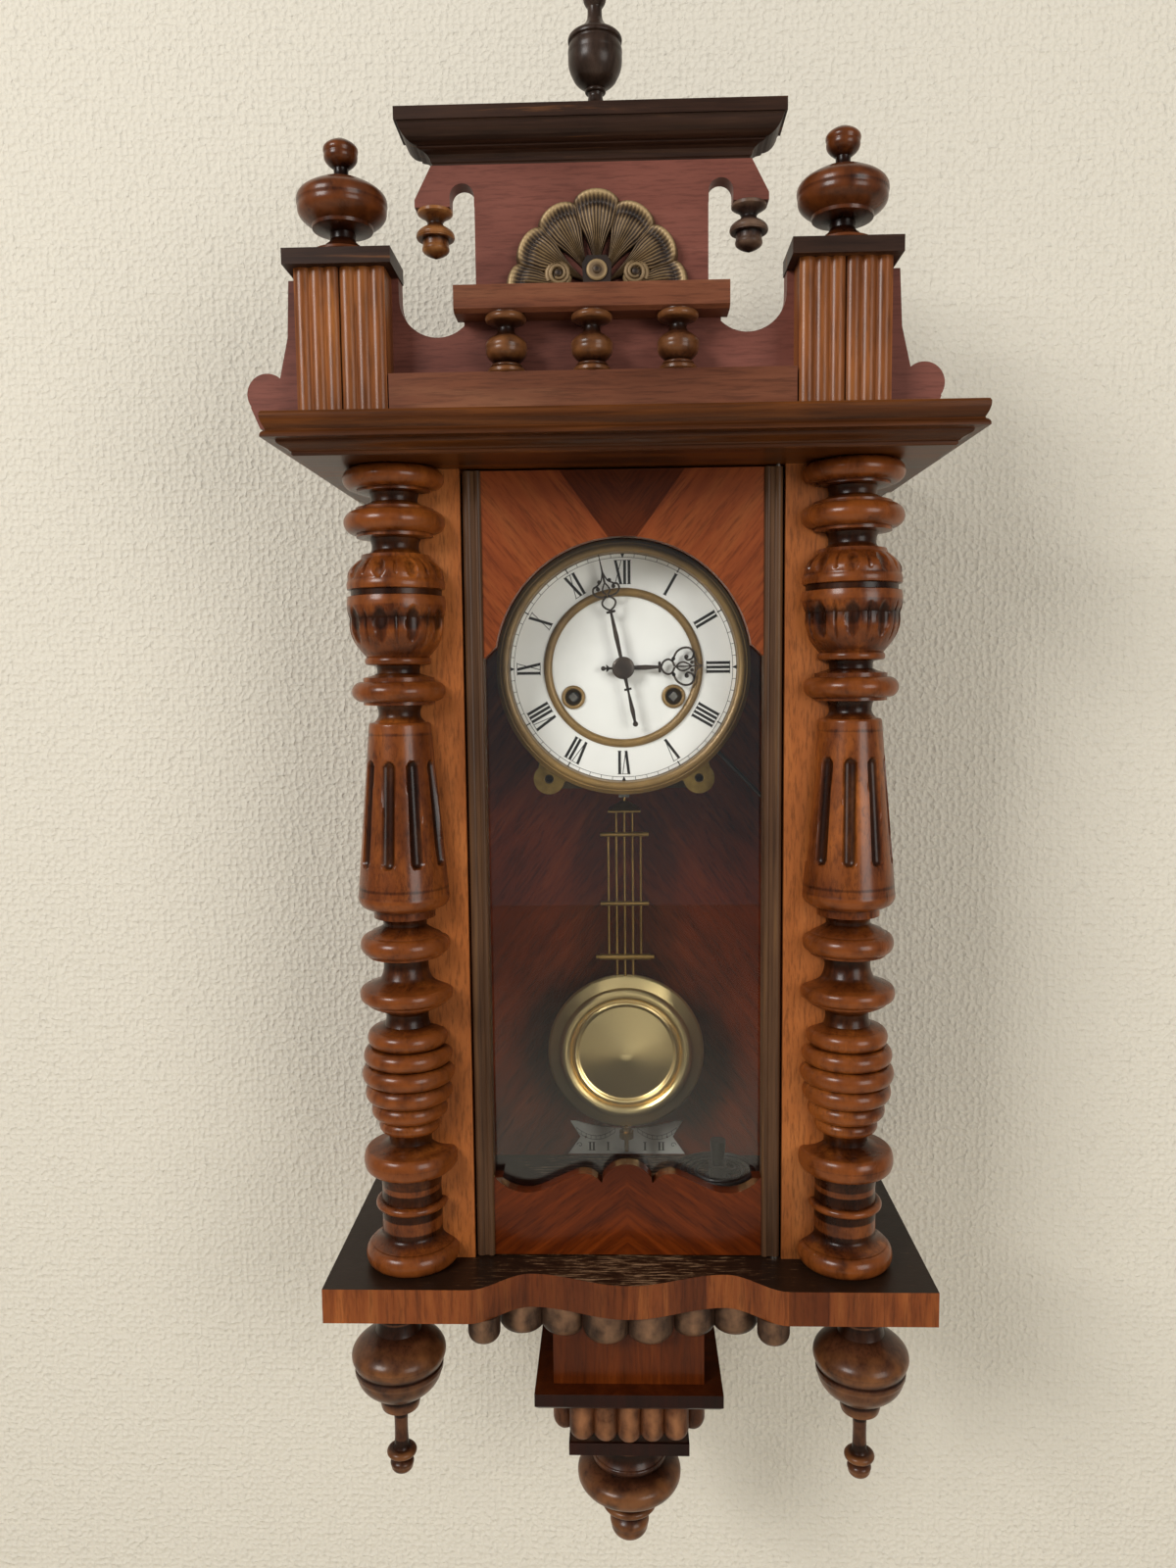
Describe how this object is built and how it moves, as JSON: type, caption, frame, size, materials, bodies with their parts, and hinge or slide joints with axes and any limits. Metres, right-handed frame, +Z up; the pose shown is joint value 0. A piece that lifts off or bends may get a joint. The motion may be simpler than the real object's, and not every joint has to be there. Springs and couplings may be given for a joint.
{
  "type": "wall regulator clock",
  "caption": "Columned wall clock case with gadrooned base and bracket, carved crest, hinged glass door, two-train spring movement and a gridiron pendulum.",
  "frame": {"origin": "Centre of the hanging hole, in the plane of the wall that the back of the case rests on", "axes": "+Z up, the front of the clock faces -Y, +X to the right seen from the front"},
  "size_m": [0.4052, 0.22, 0.9471],
  "materials": {
    "case_mahogany": "glossy red-brown varnished walnut and mahogany boards",
    "column_wood": "shellac-polished brown turned walnut",
    "dark_wood": "dark worn stain on carved and moulded wood",
    "front_veneer": "light tan speckled veneer",
    "door_wood": "dark reeded stiles",
    "burr_veneer": "red-brown crotch veneer",
    "ebonised": "ebonised turned wood",
    "acorn_wood": "lighter polished turned wood",
    "gilt_bronze": "worn bronze gilding on a pressed shell",
    "brass": "polished clock brass",
    "steel": "bright steel",
    "black_steel": "blued and blackened steel",
    "iron": "black japanned iron",
    "enamel": "white enamel on copper",
    "glass": "clear window glass"
  },
  "bodies": {
    "root": {"back_board": "case_mahogany", "side_panels": "case_mahogany", "base_board": "dark_wood", "base_gadroon": "dark_wood", "cornice": "dark_wood", "front_boards": "front_veneer", "column_left": "column_wood", "column_right": "column_wood", "base_drops": "column_wood", "bracket_block": "dark_wood", "bracket_gadroon": "dark_wood", "bracket_drop": "dark_wood", "hanger_plate": "steel", "crest_board": "case_mahogany", "crest_plinth": "case_mahogany", "crest_pedestals": "column_wood", "pedestal_caps": "dark_wood", "pedestal_finials": "column_wood", "crest_ledge": "case_mahogany", "crest_balusters": "column_wood", "shell_ornament": "gilt_bronze", "crest_cornice": "dark_wood", "crest_finial": "ebonised", "acorn_drops": "acorn_wood", "door_pins": "steel", "movement_bracket": "iron", "movement_plates": "brass", "plate_pillars": "brass", "dial": "enamel", "inner_ring": "brass", "bezel": "brass", "gong_post": "iron", "gong_coil": "iron", "suspension_cock": "brass", "beat_plate": "enamel"},
    "door": {"door_stiles": "door_wood", "door_mask": "burr_veneer", "door_apron": "burr_veneer", "door_glass": "glass"},
    "minute": {"centre_wheel": "brass", "cannon_pinion": "brass", "minute_hand": "black_steel"},
    "hour": {"hour_wheel": "brass", "hour_hand": "black_steel"},
    "pendulum": {"pendulum_rods": "brass", "pendulum_bob": "brass"},
    "minute_wheel": {"minute_wheel": "brass"},
    "third_wheel": {"third_wheel": "brass"},
    "escape_wheel": {"escape_wheel": "brass"},
    "anchor": {"anchor": "steel"},
    "rating_nut": {"rating_nut": "brass"},
    "going_barrel": {"going_barrel": "brass"},
    "going_arbor": {"going_arbor": "steel"},
    "strike_barrel": {"strike_barrel": "brass"},
    "strike_arbor": {"strike_arbor": "steel"},
    "pin_wheel": {"pin_wheel": "brass"},
    "warning_wheel": {"warning_wheel": "brass"},
    "fly": {"fly": "brass"},
    "hammer": {"hammer": "iron"}
  },
  "joints": [
    {"name": "door_swing", "type": "hinge", "parent": "root", "child": "door", "pos_m": [0.0905, -0.157, -0.4975], "axis": [0, 0, 1], "range_deg": [0, 95]},
    {"name": "third_turn", "type": "hinge", "parent": "root", "child": "third_wheel", "pos_m": [0.0152, -0.075, -0.1383], "axis": [0, 1, 0], "continuous": true},
    {"name": "minute_turn", "type": "hinge", "parent": "root", "child": "minute", "pos_m": [0, -0.075, -0.1535], "axis": [0, 1, 0], "continuous": true},
    {"name": "hour_turn", "type": "hinge", "parent": "root", "child": "hour", "pos_m": [0, -0.112, -0.1535], "axis": [0, 1, 0], "continuous": true},
    {"name": "minute_wheel_turn", "type": "hinge", "parent": "root", "child": "minute_wheel", "pos_m": [0, -0.104, -0.1675], "axis": [0, 1, 0], "continuous": true},
    {"name": "going_barrel_turn", "type": "hinge", "parent": "root", "child": "going_barrel", "pos_m": [0.0315, -0.075, -0.1715], "axis": [0, 1, 0], "continuous": true},
    {"name": "escape_turn", "type": "hinge", "parent": "root", "child": "escape_wheel", "pos_m": [0, -0.075, -0.13115], "axis": [0, 1, 0], "continuous": true},
    {"name": "going_arbor_turn", "type": "hinge", "parent": "root", "child": "going_arbor", "pos_m": [0.0315, -0.075, -0.1715], "axis": [0, 1, 0], "continuous": true},
    {"name": "strike_arbor_turn", "type": "hinge", "parent": "root", "child": "strike_arbor", "pos_m": [-0.0315, -0.075, -0.1715], "axis": [0, 1, 0], "continuous": true},
    {"name": "fly_turn", "type": "hinge", "parent": "root", "child": "fly", "pos_m": [-0.03725, -0.075, -0.11607], "axis": [0, 1, 0], "continuous": true},
    {"name": "warning_turn", "type": "hinge", "parent": "root", "child": "warning_wheel", "pos_m": [-0.02285, -0.075, -0.11607], "axis": [0, 1, 0], "continuous": true},
    {"name": "pin_wheel_turn", "type": "hinge", "parent": "root", "child": "pin_wheel", "pos_m": [-0.02802, -0.075, -0.13539], "axis": [0, 1, 0], "continuous": true},
    {"name": "strike_barrel_turn", "type": "hinge", "parent": "root", "child": "strike_barrel", "pos_m": [-0.0315, -0.075, -0.1715], "axis": [0, 1, 0], "continuous": true},
    {"name": "pendulum_swing", "type": "hinge", "parent": "root", "child": "pendulum", "pos_m": [0, -0.042, -0.11418], "axis": [0, 1, 0], "range_deg": [-3, 3]},
    {"name": "anchor_rock", "type": "hinge", "parent": "root", "child": "anchor", "pos_m": [0, -0.06, -0.11418], "axis": [0, 1, 0], "range_deg": [-3, 3]},
    {"name": "hammer_lift", "type": "hinge", "parent": "root", "child": "hammer", "pos_m": [0.048, -0.048, -0.1935], "axis": [0, -1, 0], "range_deg": [0, 1.5]},
    {"name": "rating_nut_turn", "type": "hinge", "parent": "pendulum", "child": "rating_nut", "pos_m": [0, -0.042, -0.48466], "axis": [0, 0, 1], "continuous": true}
  ],
  "couplings": [
    {"joint": "minute_turn", "follows": "third_turn", "ratio": -0.10256},
    {"joint": "hour_turn", "follows": "third_turn", "ratio": -0.008547},
    {"joint": "minute_wheel_turn", "follows": "third_turn", "ratio": 0.034188},
    {"joint": "going_barrel_turn", "follows": "third_turn", "ratio": 0.011396},
    {"joint": "escape_turn", "follows": "third_turn", "ratio": -11},
    {"joint": "warning_turn", "follows": "fly_turn", "ratio": -0.125},
    {"joint": "pin_wheel_turn", "follows": "fly_turn", "ratio": 0.013889},
    {"joint": "strike_barrel_turn", "follows": "fly_turn", "ratio": -0.0015432},
    {"joint": "anchor_rock", "follows": "pendulum_swing", "ratio": 1}
  ]
}
